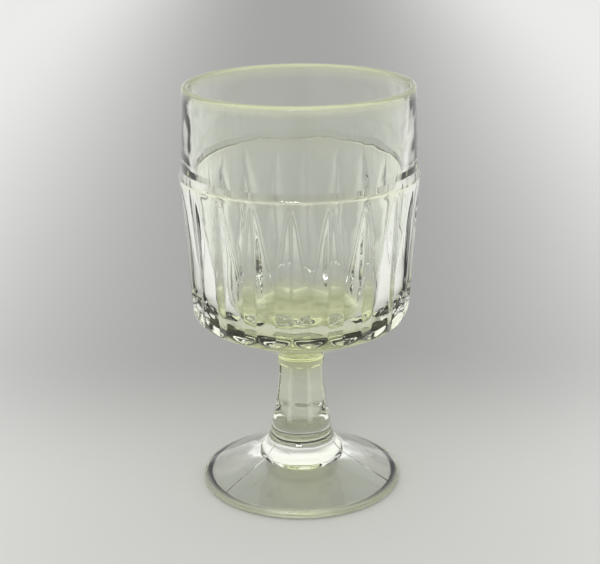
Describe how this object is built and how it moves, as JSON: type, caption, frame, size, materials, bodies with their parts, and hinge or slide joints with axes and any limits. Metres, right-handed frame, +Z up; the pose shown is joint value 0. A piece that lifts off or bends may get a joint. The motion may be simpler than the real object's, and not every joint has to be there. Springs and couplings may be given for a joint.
{
  "type": "water goblet",
  "caption": "Clear pressed-glass water goblet with a fluted straight-sided bowl, a short many-sided stem and a spreading round foot.",
  "frame": {"origin": "centre of the resting ring under the foot, on the table plane", "axes": "+Z up along the axis of the goblet, -Y towards the camera side of the picture, +X to its right"},
  "size_m": [0.0886, 0.0886, 0.156],
  "materials": {
    "clear_glass": "polished"
  },
  "bodies": {
    "root": {"bowl": "clear_glass", "stem": "clear_glass", "foot": "clear_glass"}
  },
  "joints": []
}
